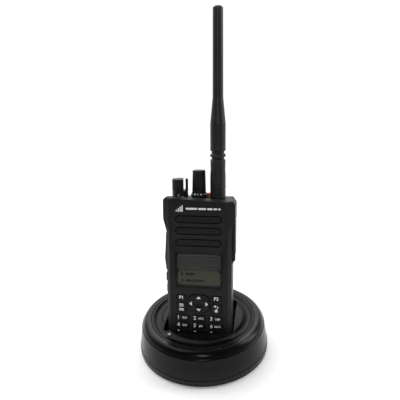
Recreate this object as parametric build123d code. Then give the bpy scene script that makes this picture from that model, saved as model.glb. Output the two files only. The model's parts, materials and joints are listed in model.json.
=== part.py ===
from build123d import *
import os

# Two-way radio standing in its round desktop charger. All lengths are millimetres.
#
# Charger frame: origin at the middle of the charger's footprint, +X right, +Y back, +Z up.
# Radio frame: +X right, +Y into the body from the face, +Z up the face, with its origin in
# the face's plane just below its foot. The radio is drawn upright, then leant into the pocket.

# ---- Where the radio stands -------------------------------------------------------------
LEAN = 12.0
FOOT_Y = -25.0
FOOT_Z = 11.6
RADIO_PLACE = Location((0, FOOT_Y, FOOT_Z), (-LEAN, 0, 0))
UPRIGHT = Location((0, 0, 0))

# ---- Radio body -------------------------------------------------------------------------
HALF_W = 25.8
SHOULDER_HALF_W = 28.3
SHOULDER_LOW_Z = 98.0
SHOULDER_HIGH_Z = 108.0
BODY_LOW_Z = 1.0
BODY_H = 122.8
SHELL_D = 18.0
DECK_D = 29.0
HOOD_Z = 100.0
HOOD_HALF_W = 26.0
LIP_BACK = 8.5
LIP_LEFT_Z = 125.5
LIP_RIGHT_Z = 122.7
CORNER_R = 3.5
SIDE_BEVEL = 2.6
TOP_BEVEL = 0.6
FACE_FLARE = 0.3
FACE_WALL = 2.0
WALL = 2.4
ROOF = 3.0
GAP = 0.3
TOUCH = 0.02
RUNNING = 0.06

# ---- Screw bosses inside the shell ------------------------------------------------------
BOSS_SPOTS = ((-21.0, 6.8), (21.0, 6.8), (-22.0, 116.2), (22.0, 116.2))
BOSS_R = 1.8
BOSS_BACK = 15.4
BOSS_BORE_R = 0.92

# ---- Speaker grille ---------------------------------------------------------------------
GRILLE_Z = (90.0, 99.4, 108.6)
SLOT_W = 36.6
SLOT_H = 6.2
BAR_GAP = 0.75
GRILLE_BACK = 3.2
SPEAKER_Z = 99.2
SPEAKER_R = 14.0

# ---- Display ----------------------------------------------------------------------------
WINDOW_Z = 67.5
WINDOW_W = 37.2
WINDOW_H = 28.2
WINDOW_R = 1.2
VIEW_W = 35.2
VIEW_H = 26.2
LENS_T = 1.0
LENS_SUNK = 0.15
MODULE_W = 38.4
MODULE_H = 31.0

# ---- Keypad -----------------------------------------------------------------------------
KEY_PITCH_X = 13.3
KEY_PITCH_Z = 6.3
DIGIT_W = 10.8
DIGIT_H = 4.9
TOP_ROW_Z = 28.2
SIDE_KEY_X = 13.95
SIDE_KEY_W = 8.4
SOFT_KEY_Z = 45.0
SOFT_KEY_H = 4.6
MENU_KEY_Z = 36.8
MENU_KEY_H = 8.2
NAV_Z = 40.5
NAV_W = 17.2
NAV_H = 14.6
KEY_PROUD = 0.5
KEY_BACK = 2.9
KEY_FLANGE = 0.4
KEY_EDGE_R = 0.4
MAT_FRONT = 4.2
MAT_BACK = 5.8
NUB_TOP = 3.45

# ---- Top controls -----------------------------------------------------------------------
AXIS_Y = 17.0
VOLUME_X = -17.1
VOLUME_R = 6.5
VOLUME_LOW_Z = 123.1
VOLUME_TOP_Z = 138.1
KNOB_SET = 9.5
CHANNEL_X = -1.8
CHANNEL_R = 5.25
CHANNEL_SKIRT_R = 6.65
CHANNEL_LOW_Z = 124.4
CHANNEL_TOP_Z = 145.1
SHAFT_R = 1.5
BUSHING_R = 3.0
SWITCH_LOW_Z = 104.8
SWITCH_TOP_Z = 114.2
CHASSIS_TOP_Z = 118.8
EMERGENCY_X = 5.6
EMERGENCY_Y = 23.2
EMERGENCY_R = 2.6
LED_X = -13.2
LED_Y = 6.6
LED_TOP_Z = 125.1
LED_R = 0.9

# ---- Antenna ----------------------------------------------------------------------------
ANTENNA_X = 13.3
ANTENNA_R = 6.2
ANTENNA_LOW_Z = 123.1
ANTENNA_TIP_Z = 267.7
WHIP_R = 4.1
STUD_R = 3.4
WHIP_CORE_R = 1.0

# ---- Side controls ----------------------------------------------------------------------
SIDE_AXIS_Y = 9.2
PTT_LOW_Z = 66.0
PTT_TOP_Z = 97.0
PTT_DEPTH = 8.4
UPPER_BUTTON_Z = 60.0
LOWER_BUTTON_Z = 50.4
SIDE_BUTTON_H = 6.8
SIDE_BUTTON_DEPTH = 7.0

# ---- Accessory port on the right side ---------------------------------------------------
COVER_LOW_Z = 79.7
COVER_PIVOT_Z = 117.5
COVER_IN_X = 25.95
COVER_T = 2.4
COVER_FRONT_Y = 3.6
COVER_BACK_Y = 15.9
SCREW_Z = 76.3
SCREW_R = 1.2
PORT_Z = 98.0
PORT_H = 20.0

# ---- Battery ----------------------------------------------------------------------------
BATTERY_HALF_W = 24.4
BATTERY_LOW_Z = 2.0
BATTERY_TOP_Z = 99.5
BATTERY_FRONT = 18.3
LID_BACK = 19.7
BATTERY_BACK = 36.0
CONTACT_X = (-7.0, 0.0, 7.0)
CONTACT_Z = 13.0

# ---- Charger ----------------------------------------------------------------------------
BASE_R = 54.0
BASE_LOW_Z = 0.8
FLOOR_TOP_Z = 2.8
BASE_TOP_Z = 6.1
SEAM = 0.35
SHELL_R = 53.7
SHOULDER_R = 51.5
SHOULDER_Z = 22.6
EDGE_R = 50.7
EDGE_Z = 24.4
RIM_R = 46.8
RIM_Z = 29.0
WELL_R = 43.0
WELL_Z = 28.5
BRIM_R = 41.4
LEDGE_R = 41.8
TROUGH_R = 37.4
TROUGH_Z = 26.9
COLLAR_R = 33.0
COLLAR_Z = 28.3
DISH_T = 2.0
CHARGER_WALL = 2.2
POCKET_HALF_W = 28.2
POCKET_X = -1.2
POCKET_FRONT = -1.0
POCKET_BACK = 37.2
POCKET_FLOOR = 0.8
CLIP_BACK = 47.5
CLIP_FLOOR = 18.4
SLEEVE_T = 1.8
SLEEVE_LOW_Z = 3.1
PIN_R = 0.95
BOSS_RING_R = 45.2
FOOT_RING_R = 42.0
JACK_Z = 10.2
LAMP_X = -23.2
LAMP_Y = -27.0
LAMP_R = 1.3


# ---- Shared shapes ----------------------------------------------------------------------
def span(centre, length):
    """The interval of this length about a centre."""
    return (centre - length / 2, centre + length / 2)


def block(x_span, y_span, z_span):
    """A box given by its span along each axis."""
    spans = (x_span, y_span, z_span)
    size = [high - low for low, high in spans]
    middle = [(high + low) / 2 for low, high in spans]
    return Pos(*middle) * Box(*size)


def through(sketch, front, back):
    """A face drawn in X and Z, pushed from depth front to depth back along Y."""
    return extrude(Plane.XZ.offset(-back) * sketch, back - front)


def post(radius, low, high, x=0.0, y=0.0):
    """An upright cylinder."""
    return Pos(x, y, (low + high) / 2) * Cylinder(radius, high - low)


def rod_along_y(radius, front, back, x, z):
    """A cylinder that runs front to back."""
    return through(Pos(x, z) * Circle(radius), front, back)


def rod_along_x(radius, left, right, y, z):
    """A cylinder that runs left to right."""
    middle = Pos((left + right) / 2, y, z)
    return middle * Rot(0, 90, 0) * Cylinder(radius, right - left)


def turned(points):
    """A solid turned about Z from (radius, height) points."""
    return revolve(Plane.XZ * make_face(Polyline(*points, close=True)), Axis.Z)


def ring_of(count, radius, start=0.0):
    """Places around Z, evenly spaced."""
    return PolarLocations(radius, count, start)


def body_outline(side=0.0, top_z=(BODY_H, BODY_H), flare=SHOULDER_HALF_W - HALF_W):
    """The radio's front view, drawn in by side, with its top's height at the left and right.

    flare is how far the shoulders stand out from the flanks.
    """
    left_z, right_z = top_z
    flank = HALF_W - side
    points = [
        (flank, BODY_LOW_Z + side), (flank, SHOULDER_LOW_Z),
        (flank + flare, SHOULDER_HIGH_Z), (flank + flare, right_z),
        (-flank - flare, left_z), (-flank - flare, SHOULDER_HIGH_Z),
        (-flank, SHOULDER_LOW_Z), (-flank, BODY_LOW_Z + side),
    ]
    face = make_face(Polyline(*points, close=True))
    return fillet(face.vertices(), CORNER_R)


# ---- Keypad layout ----------------------------------------------------------------------
def digit_keys():
    """Name and centre of each of the twelve dialling keys."""
    names = ("1", "2", "3", "4", "5", "6", "7", "8", "9", "star", "0", "hash")
    layout = {}
    for index, name in enumerate(names):
        row, column = divmod(index, 3)
        layout["key_" + name] = ((column - 1) * KEY_PITCH_X, TOP_ROW_Z - row * KEY_PITCH_Z)
    return layout


def side_keys():
    """Name, centre and height of the four keys beside the navigation pad."""
    return {
        "key_p1": (-SIDE_KEY_X, SOFT_KEY_Z, SOFT_KEY_H),
        "key_p2": (SIDE_KEY_X, SOFT_KEY_Z, SOFT_KEY_H),
        "key_menu": (-SIDE_KEY_X, MENU_KEY_Z, MENU_KEY_H),
        "key_back": (SIDE_KEY_X, MENU_KEY_Z, MENU_KEY_H),
    }


def key_shapes():
    """Every pressed key as name: (x, z, width, height, corner radius)."""
    shapes = {}
    for name, (x, z) in digit_keys().items():
        shapes[name] = (x, z, DIGIT_W, DIGIT_H, 1.6)
    for name, (x, z, height) in side_keys().items():
        shapes[name] = (x, z, SIDE_KEY_W, height, 1.5)
    return shapes


# ---- Radio: housing ---------------------------------------------------------------------
def body_cavity():
    """The hollow of the front shell, open at its back, and of the hood behind the knobs."""
    roof = BODY_H - ROOF
    hollow = through(body_outline(WALL, (roof, roof)), FACE_WALL, SHELL_D)
    inner = HOOD_HALF_W - WALL
    return hollow + block((-inner, inner), (SHELL_D - 1, DECK_D - WALL), (HOOD_Z + WALL, roof))


def housing_block():
    """The housing's outside: bevelled face, front lip, flanks, shoulders, deck and hood."""
    face_top = (LIP_LEFT_Z - TOP_BEVEL, LIP_RIGHT_Z - TOP_BEVEL)
    lip_top = (LIP_LEFT_Z, LIP_RIGHT_Z)
    face = Plane.XZ * body_outline(SIDE_BEVEL, face_top, FACE_FLARE)
    flank = Plane.XZ.offset(-SIDE_BEVEL) * body_outline(0.0, lip_top)
    shell = loft([face, flank], ruled=True)
    shell += through(body_outline(0.0, lip_top), SIDE_BEVEL, LIP_BACK)
    shell += through(body_outline(), LIP_BACK, SHELL_D)
    hood = block((-HOOD_HALF_W, HOOD_HALF_W), (SHELL_D, DECK_D), (HOOD_Z, BODY_H))
    hood = fillet(hood.edges().filter_by(Axis.Y).group_by(Axis.Z)[-1], 2.4)
    back_edges = hood.faces().sort_by(Axis.Y)[-1].outer_wire().edges()
    return shell + fillet(back_edges, 1.8)


def face_openings():
    """What is cut through the face: grille slots, window, keys and microphone port."""
    cuts = []
    for z in GRILLE_Z:
        cuts.append(through(Pos(0, z) * SlotOverall(SLOT_W, SLOT_H), -1, FACE_WALL + 1))
    view = Pos(0, WINDOW_Z) * RectangleRounded(VIEW_W, VIEW_H, 0.6)
    ledge = Pos(0, WINDOW_Z) * RectangleRounded(WINDOW_W + 0.2, WINDOW_H + 0.2, WINDOW_R)
    cuts.append(through(view, -1, FACE_WALL + 1))
    cuts.append(through(ledge, -1, LENS_SUNK + LENS_T))
    for x, z, width, height, radius in key_shapes().values():
        hole = Pos(x, z) * RectangleRounded(width + 2 * GAP, height + 2 * GAP, radius + GAP)
        cuts.append(through(hole, -1, FACE_WALL + 1))
    nav = Pos(0, NAV_Z) * RectangleRounded(NAV_W + 2 * GAP, NAV_H + 2 * GAP, 4.5 + GAP)
    cuts.append(through(nav, -1, FACE_WALL + 1))
    cuts.append(rod_along_y(0.5, -1, FACE_WALL + 1, -20.9, 50.8))
    return cuts


def deck_openings():
    """What is cut through the deck: control shafts, antenna socket, button and lamp."""
    low = BODY_H - ROOF - 1
    high = BODY_H + 3
    return [
        post(BUSHING_R + 0.2, low, high, VOLUME_X, AXIS_Y),
        post(BUSHING_R + 0.2, low, high, CHANNEL_X, AXIS_Y),
        post(4.8, low, high, ANTENNA_X, AXIS_Y),
        post(EMERGENCY_R + 0.15, low, high, EMERGENCY_X, EMERGENCY_Y),
        post(LED_R + TOUCH, low, high, LED_X, LED_Y),
    ]


def side_openings():
    """What is cut through the flanks: buttons, accessory port, cover seat and its screw."""
    left = (-HALF_W - 3, -HALF_W + WALL + 1)
    right = (HALF_W - WALL - 1, HALF_W + 3)
    ptt_y = span(SIDE_AXIS_Y, PTT_DEPTH + 2 * GAP)
    button_y = span(SIDE_AXIS_Y, SIDE_BUTTON_DEPTH + 2 * GAP)
    cuts = [block(left, ptt_y, (PTT_LOW_Z - GAP, PTT_TOP_Z + GAP))]
    for z in (UPPER_BUTTON_Z, LOWER_BUTTON_Z):
        cuts.append(block(left, button_y, span(z, SIDE_BUTTON_H + 2 * GAP)))
    seat_y = (COVER_FRONT_Y - GAP, COVER_BACK_Y + GAP)
    seat_top = COVER_PIVOT_Z + COVER_T / 2 + GAP
    cuts.append(block((HALF_W, HALF_W + 4), seat_y, (COVER_LOW_Z - 8, seat_top)))
    cuts.append(block(right, (5.0, 14.0), span(PORT_Z, PORT_H + 0.2)))
    cuts.append(rod_along_x(SCREW_R + 0.7, right[0], right[1], SIDE_AXIS_Y, SCREW_Z))
    return cuts


def front_housing():
    """Moulded shell: face, flanks, deck and hood, with four screw bosses inside."""
    shell = housing_block() - body_cavity()
    shell += post(6.0, BODY_H - 0.5, CHANNEL_LOW_Z - GAP, CHANNEL_X, AXIS_Y)
    for x, z in BOSS_SPOTS:
        shell += rod_along_y(BOSS_R, FACE_WALL - 0.5, BOSS_BACK, x, z)
        shell -= rod_along_y(BOSS_BORE_R, 6.0, BOSS_BACK + 1, x, z)
    for cut in face_openings() + deck_openings() + side_openings():
        shell -= cut
    return shell - block((-6.9, 6.9), (9.6, SHELL_D + 1), (0, BODY_LOW_Z + WALL + 0.1))


def chassis():
    """Die-cast frame: back plate, cheeks and the bracket that holds the top controls."""
    plate = through(Pos(0, 52.6) * RectangleRounded(46.0, 96.8, CORNER_R), 15.5, 17.6)
    cheeks = block((-23.2, -22.1), (15.5, 17.6), (96.0, 116.0))
    cheeks += block((22.1, 23.2), (15.5, 17.6), (96.0, 116.0))
    bracket = block((-23.3, 23.3), (15.5, 26.4), (SWITCH_TOP_Z + 0.2, CHASSIS_TOP_Z))
    bracket += block((-19.2, 19.2), (10.5, 15.5), (SWITCH_TOP_Z + 0.2, CHASSIS_TOP_Z))
    frame = plate + cheeks + bracket
    for x in (-12.0, 12.0):
        frame += block(span(x, 1.6), (11.0, 15.5), (10.0, 80.0))
    for x in (VOLUME_X, CHANNEL_X):
        frame -= post(BUSHING_R + 0.1, 110, 120, x, AXIS_Y)
    frame -= post(4.62, 110, 120, ANTENNA_X, AXIS_Y)
    frame -= post(3.7, 110, 120, EMERGENCY_X, EMERGENCY_Y)
    for x, z in BOSS_SPOTS:
        frame -= rod_along_y(1.1, 14, 19, x, z)
        frame -= rod_along_y(2.1, 16.6, 28, x, z)
    return frame


def housing_screws():
    """Four screws that clamp the chassis to the shell's bosses."""
    screws = []
    for x, z in BOSS_SPOTS:
        screw = rod_along_y(BOSS_BORE_R - TOUCH, 6.5, 16.7, x, z)
        screw += rod_along_y(1.85, 16.6, 17.8, x, z)
        screws.append(screw - rod_along_y(0.8, 17.2, 18.5, x, z))
    return Part() + screws


# ---- Radio: sound and display -----------------------------------------------------------
def speaker_grille():
    """Plate behind the face whose three bars stand in the slots with a sound gap around."""
    plate = block((-19.5, 19.5), (FACE_WALL + 0.2, GRILLE_BACK), (85.4, 113.4))
    for z in GRILLE_Z:
        bar_shape = Pos(0, z) * SlotOverall(SLOT_W - 2 * BAR_GAP, SLOT_H - 2 * BAR_GAP)
        bar = through(bar_shape, 0.1, GRILLE_BACK)
        front_edges = bar.faces().sort_by(Axis.Y)[0].outer_wire().edges()
        plate += fillet(front_edges, 0.4)
        for side in (-1, 1):
            gap_z = z + side * (SLOT_H - BAR_GAP) / 2
            plate -= block((-15, 15), (FACE_WALL, GRILLE_BACK + 1), span(gap_z, BAR_GAP))
    return plate


def speaker():
    """Loudspeaker: frame, hollow cone and magnet."""
    profile = [
        (0, 5.6), (7.0, 5.6), (SPEAKER_R - 1.4, 3.7), (SPEAKER_R, 3.7), (SPEAKER_R, 4.9),
        (9.0, 7.0), (8.6, 9.8), (0, 9.8),
    ]
    body = revolve(make_face(Plane.XY * Polyline(*profile, close=True)), Axis.Y)
    return Pos(0, 0, SPEAKER_Z) * body


def display_lens():
    """Clear window that covers the display."""
    shape = Pos(0, WINDOW_Z) * RectangleRounded(WINDOW_W, WINDOW_H, WINDOW_R)
    lens = through(shape, LENS_SUNK, LENS_SUNK + LENS_T)
    front_edges = lens.faces().sort_by(Axis.Y)[0].outer_wire().edges()
    return chamfer(front_edges, 0.2)


def display_module():
    """Display panel with its metal frame."""
    frame = block(span(0, MODULE_W), (2.3, 4.9), span(WINDOW_Z, MODULE_H))
    return frame - block(span(0, VIEW_W + 0.6), (2.0, 2.6), span(WINDOW_Z, VIEW_H + 0.6))


def microphone():
    """Microphone capsule behind its port, left of the display's foot."""
    return rod_along_y(1.7, FACE_WALL + 0.2, 4.3, -20.9, 50.8)


def main_board():
    """Circuit board with a round cut for the speaker, chips and a shield can."""
    board = block((-20.8, 20.8), (6.0, 7.2), (4.4, 103.8))
    board -= rod_along_y(SPEAKER_R + 0.6, 5, 8, 0, SPEAKER_Z)
    for x, z in BOSS_SPOTS:
        board -= rod_along_y(BOSS_R + GAP, 5, 8, x, z)
    board += block((-9.0, 8.0), (7.2, 9.4), (54.0, 76.0))
    board += block((-8.0, 3.0), (7.2, 8.6), (34.0, 45.0))
    board += block((-4.0, 9.0), (7.2, 8.4), (14.0, 27.0))
    return board


# ---- Radio: keys ------------------------------------------------------------------------
def key(x, z, width, height, radius):
    """A key cap with a flange behind the face that keeps it in."""
    cap = through(Pos(x, z) * RectangleRounded(width, height, radius), -KEY_PROUD, KEY_BACK)
    front_edges = cap.faces().sort_by(Axis.Y)[0].outer_wire().edges()
    cap = fillet(front_edges, KEY_EDGE_R)
    rim = RectangleRounded(width + 2 * KEY_FLANGE, height + 2 * KEY_FLANGE, radius)
    return cap + through(Pos(x, z) * rim, FACE_WALL + GAP, KEY_BACK)


def key_nav():
    """Four-way pad with a dished middle; it rocks on the pivot behind it."""
    cap = through(Pos(0, NAV_Z) * RectangleRounded(NAV_W, NAV_H, 4.5), -0.9, 3.1)
    front_edges = cap.faces().sort_by(Axis.Y)[0].outer_wire().edges()
    cap = fillet(front_edges, 0.5)
    rim = RectangleRounded(NAV_W + 2 * KEY_FLANGE, NAV_H + 2 * KEY_FLANGE, 4.5)
    cap += through(Pos(0, NAV_Z) * rim, FACE_WALL + 0.6, 3.1)
    dish_r = 18.0
    dish_depth = 0.45
    return cap - Pos(0, -0.9 - dish_r + dish_depth, NAV_Z) * Sphere(dish_r)


def nav_pivot():
    """Rubber pivot under the middle of the pad."""
    return rod_along_y(2.4, 3.3, 3.95, 0, NAV_Z)


def keypad_membrane():
    """Rubber mat with a nub behind every pressed key."""
    mat = block((-19.0, 19.0), (MAT_FRONT, MAT_BACK), (4.2, 48.6))
    for x, z, _, _, _ in key_shapes().values():
        mat += rod_along_y(1.5, NUB_TOP, MAT_FRONT + 0.2, x, z)
    return mat


# ---- Radio: side controls ---------------------------------------------------------------
def ptt_button():
    """Long talk button, highest a third of the way up, with a flange inside the flank."""
    inner_x = -HALF_W + WALL + GAP
    outline = [
        (inner_x, PTT_LOW_Z), (-26.9, PTT_LOW_Z), (-27.9, PTT_LOW_Z + 9.5),
        (-27.1, PTT_TOP_Z - 8.0), (-26.8, PTT_TOP_Z), (inner_x, PTT_TOP_Z),
    ]
    shape = make_face(Polyline(*outline, close=True))
    outer = shape.vertices().filter_by(lambda corner: corner.X < -26)
    pad = through(fillet(outer, 1.0), *span(SIDE_AXIS_Y, PTT_DEPTH))
    flange_z = (PTT_LOW_Z - 0.8, PTT_TOP_Z + 0.8)
    return pad + block((inner_x, inner_x + 0.8), span(SIDE_AXIS_Y, PTT_DEPTH + 1.0), flange_z)


def side_button(z, outer_x):
    """Short programmable button on the left flank."""
    inner_x = -HALF_W + WALL + GAP
    pad = block((outer_x, inner_x), span(SIDE_AXIS_Y, SIDE_BUTTON_DEPTH), span(z, SIDE_BUTTON_H))
    pad = fillet(pad.faces().sort_by(Axis.X)[0].edges(), 0.9)
    flange_y = span(SIDE_AXIS_Y, SIDE_BUTTON_DEPTH + 1.0)
    return pad + block((inner_x, inner_x + 0.8), flange_y, span(z, SIDE_BUTTON_H + 1.4))


def side_button_upper():
    """The button just below the talk button."""
    return side_button(UPPER_BUTTON_Z, -27.4)


def side_button_lower():
    """The lowest button on the flank."""
    return side_button(LOWER_BUTTON_Z, -27.0)


# ---- Radio: top controls ----------------------------------------------------------------
def switch(x, bushing_top):
    """Rotary switch can with its threaded bushing, bored for the shaft."""
    can = block(span(x, 9.6), (11.5, 22.5), (SWITCH_LOW_Z, SWITCH_TOP_Z))
    can += post(BUSHING_R, SWITCH_TOP_Z - 1, bushing_top, x, AXIS_Y)
    return can - post(SHAFT_R + RUNNING, SWITCH_LOW_Z + 1.5, bushing_top + 1, x, AXIS_Y)


def volume_switch():
    """On/off and volume control."""
    return switch(VOLUME_X, VOLUME_LOW_Z - GAP)


def channel_switch():
    """Sixteen-position channel selector."""
    return switch(CHANNEL_X, CHANNEL_LOW_Z - GAP)


def shaft(x, top):
    """Control shaft with a flat near its top."""
    rod = post(SHAFT_R, SWITCH_LOW_Z + 2, top, x, AXIS_Y)
    flat = block((x - 2, x + 2), (AXIS_Y + 1.0, AXIS_Y + 2), (top - 7, top + 1))
    return rod - flat


def volume_shaft():
    """Shaft of the volume control."""
    return shaft(VOLUME_X, VOLUME_TOP_Z - 4)


def channel_shaft():
    """Shaft of the channel selector."""
    return shaft(CHANNEL_X, CHANNEL_TOP_Z - 4)


def fluted(body, radius, flute_r, count, low, high):
    """Cuts even upright grooves around a body that stands on Z."""
    for place in ring_of(count, radius):
        body -= place * post(flute_r, low, high)
    return body


def volume_knob():
    """Knob with a slit on its right, a groove above its foot and a pointer lug."""
    knob = post(VOLUME_R, VOLUME_LOW_Z, VOLUME_TOP_Z)
    knob = fillet(knob.faces().sort_by(Axis.Z)[-1].edges(), 0.9)
    groove = post(VOLUME_R + 1, 127.4, 128.1) - post(VOLUME_R - 0.7, 127, 129)
    knob -= groove
    knob = fluted(knob, VOLUME_R + 0.25, 0.55, 24, 129.0, VOLUME_TOP_Z + 1)
    knob += block((-1.0, 1.0), (-VOLUME_R - 0.5, -VOLUME_R + 1), (123.5, 127.2))
    knob -= block((2.65, 4.25), (-10, 10), (128.8, VOLUME_TOP_Z + 1))
    knob -= post(SHAFT_R + TOUCH, VOLUME_LOW_Z - 1, VOLUME_TOP_Z - 3.9)
    return Pos(VOLUME_X, AXIS_Y, 0) * Rot(0, 0, KNOB_SET) * knob


def channel_knob():
    """Tall tapered knob with twelve flutes over a flared skirt."""
    profile = [
        (0, CHANNEL_LOW_Z), (CHANNEL_SKIRT_R, CHANNEL_LOW_Z), (CHANNEL_SKIRT_R, 125.4),
        (CHANNEL_R + 0.3, 127.6), (CHANNEL_R - 0.1, CHANNEL_TOP_Z), (0, CHANNEL_TOP_Z),
    ]
    knob = turned(profile)
    knob = fillet(knob.faces().sort_by(Axis.Z)[-1].edges(), 0.8)
    knob = fluted(knob, CHANNEL_R + 0.45, 0.85, 12, 128.4, CHANNEL_TOP_Z + 1)
    knob -= post(SHAFT_R + TOUCH, CHANNEL_LOW_Z - 1, CHANNEL_TOP_Z - 3.9)
    return Pos(CHANNEL_X, AXIS_Y, 0) * knob


def emergency_button():
    """Round push button behind the knobs, kept in by a collar under the deck."""
    button = post(EMERGENCY_R, 118.7, 126.0)
    button = fillet(button.faces().sort_by(Axis.Z)[-1].edges(), 0.8)
    button += post(EMERGENCY_R + 0.6, 118.6, 119.3)
    return Pos(EMERGENCY_X, EMERGENCY_Y, 0) * button


def led_lens():
    """Small status lamp in the lip in front of the knobs."""
    return post(LED_R, CHASSIS_TOP_Z + 0.2, LED_TOP_Z, LED_X, LED_Y)


# ---- Radio: antenna ---------------------------------------------------------------------
def antenna_socket():
    """Threaded brass socket in the deck."""
    socket = post(4.6, 108.0, ANTENNA_LOW_Z - GAP)
    socket -= post(STUD_R + RUNNING, 110.0, ANTENNA_LOW_Z + 1)
    return Pos(ANTENNA_X, AXIS_Y, 0) * socket


def antenna_core():
    """Threaded stud at the antenna's foot, with the metal whip that runs up from it."""
    stud = post(STUD_R, 111.0, 126.5)
    whip = post(WHIP_CORE_R, 126.0, 263.0)
    return Pos(ANTENNA_X, AXIS_Y, 0) * (stud + whip)


def antenna_sheath():
    """Rubber antenna: ringed collar, waist, bead between two grooves, taper and whip."""
    body_r = ANTENNA_R
    profile = [
        (0, ANTENNA_LOW_Z), (body_r - 0.3, ANTENNA_LOW_Z), (body_r, ANTENNA_LOW_Z + 0.4),
        (body_r, 126.7), (body_r - 0.4, 126.8), (body_r - 0.4, 127.1), (body_r, 127.2),
        (body_r, 129.9), (body_r - 0.4, 130.0), (body_r - 0.4, 130.3), (body_r, 130.5),
        (body_r, 140.0), (body_r - 0.3, 145.5), (body_r - 0.15, 150.0),
        (body_r - 0.15, 153.4), (body_r - 1.2, 154.0), (body_r - 1.2, 159.8),
        (body_r - 0.1, 160.6), (body_r - 0.15, 181.0), (WHIP_R + 0.9, 192.0),
        (WHIP_R, 201.5), (WHIP_R - 0.2, ANTENNA_TIP_Z - 1.2),
        (WHIP_R - 1.4, ANTENNA_TIP_Z), (0, ANTENNA_TIP_Z),
    ]
    sheath = turned(profile)
    bead = post(body_r, 155.2, 158.4)
    sheath += fillet(bead.edges().filter_by(GeomType.CIRCLE), 1.4)
    sheath -= post(STUD_R + TOUCH, ANTENNA_LOW_Z - 1, 126.5)
    sheath -= post(WHIP_CORE_R + TOUCH, 126.0, 263.0)
    return Pos(ANTENNA_X, AXIS_Y, 0) * sheath


# ---- Radio: accessory port --------------------------------------------------------------
def accessory_connector():
    """Contact panel in the right flank with two rows of pads."""
    panel = block((23.0, 25.2), (5.1, 13.9), span(PORT_Z, PORT_H))
    for row_y in (7.4, 11.6):
        for index in range(6):
            pad_z = PORT_Z + (index - 2.5) * 3.0
            panel += block((25.1, 25.5), span(row_y, 2.6), span(pad_z, 1.8))
    return panel


def accessory_cover():
    """Dust cover over the port: pivots at its rounded top, tongue for the screw below."""
    outer_x = COVER_IN_X + COVER_T
    pivot_x = COVER_IN_X + COVER_T / 2
    depth = (COVER_FRONT_Y, COVER_BACK_Y)
    flap = block((COVER_IN_X, outer_x), depth, (COVER_LOW_Z, COVER_PIVOT_Z))
    flap = fillet(flap.edges().filter_by(Axis.Z).group_by(Axis.X)[-1], 0.8)
    flap += through(Pos(pivot_x, COVER_PIVOT_Z) * Circle(COVER_T / 2), *depth)
    tongue_y = span(SIDE_AXIS_Y, 6.4)
    flap += block((COVER_IN_X, COVER_IN_X + 0.9), tongue_y, (SCREW_Z - 3.4, COVER_LOW_Z))
    return flap - rod_along_x(SCREW_R + RUNNING, 25, 29, SIDE_AXIS_Y, SCREW_Z)


def accessory_screw():
    """Captive thumb screw: knurled head outside, shank through the tongue."""
    head_x = COVER_IN_X + 0.9 + 0.1
    head = rod_along_x(2.5, head_x, head_x + 1.1, 0, 0)
    for place in ring_of(16, 2.6):
        head -= Rot(0, 90, 0) * place * Cylinder(0.22, 80)
    head -= block((head_x + 0.7, head_x + 2), (-1.6, 1.6), (-0.3, 0.3))
    screw = head + rod_along_x(SCREW_R, 22.5, head_x + 0.1, 0, 0)
    return Pos(0, SIDE_AXIS_Y, SCREW_Z) * screw


# ---- Radio: battery ---------------------------------------------------------------------
def battery_outline(inset=0.0):
    """The battery's front view."""
    height = BATTERY_TOP_Z - BATTERY_LOW_Z
    middle = (BATTERY_TOP_Z + BATTERY_LOW_Z) / 2
    shape = RectangleRounded(2 * (BATTERY_HALF_W - inset), height - 2 * inset, 4.0 - inset)
    return Pos(0, middle) * shape


def battery_case():
    """Rear shell of the battery, rounded behind, with pad pockets and a latch notch."""
    case = through(battery_outline(), LID_BACK, BATTERY_BACK)
    back_edges = case.faces().sort_by(Axis.Y)[-1].outer_wire().edges()
    case = fillet(back_edges, 3.5)
    case -= through(battery_outline(1.8), LID_BACK - 1, BATTERY_BACK - 1.8)
    for x in CONTACT_X:
        case -= block(span(x, 4.0), (BATTERY_BACK - 0.6, 40), span(CONTACT_Z, 6.0))
    for index in range(5):
        groove_z = 84.0 + index * 2.4
        case -= rod_along_x(0.5, -14, 14, BATTERY_BACK + 0.15, groove_z)
    return case - latch_notch()


def battery_lid():
    """Plate that closes the battery towards the radio."""
    return through(battery_outline(), BATTERY_FRONT, LID_BACK) - latch_notch()


def latch_notch():
    """The notch in the battery's foot that the latch hooks."""
    return block((-5.4, 5.4), (18.0, 20.2), (0.0, 3.3))


def battery_cells():
    """Two flat cells side by side."""
    cells = []
    for side in (-1, 1):
        cell = Pos(side * 11.1, 26.95, 51.0) * Box(21.6, 13.6, 88.0)
        cells.append(fillet(cell.edges().filter_by(Axis.Z), 2.0))
    return Part() + cells


def battery_contacts():
    """Three charging pads in the back of the battery."""
    pads = [
        block(span(x, 4.0), (BATTERY_BACK - 0.6, BATTERY_BACK), span(CONTACT_Z, 6.0))
        for x in CONTACT_X
    ]
    return Part() + pads


def battery_latch():
    """Sliding latch in the radio's foot whose hook holds the battery."""
    slider = block((-6.5, 6.5), (12.0, 17.8), (1.15, 2.9))
    slider += block((-5.0, 5.0), (17.7, 19.6), (1.9, 2.9))
    for index in range(4):
        slider -= block((-5.5, 5.5), span(12.9 + index * 1.1, 0.5), (1.0, 1.45))
    return slider


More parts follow.
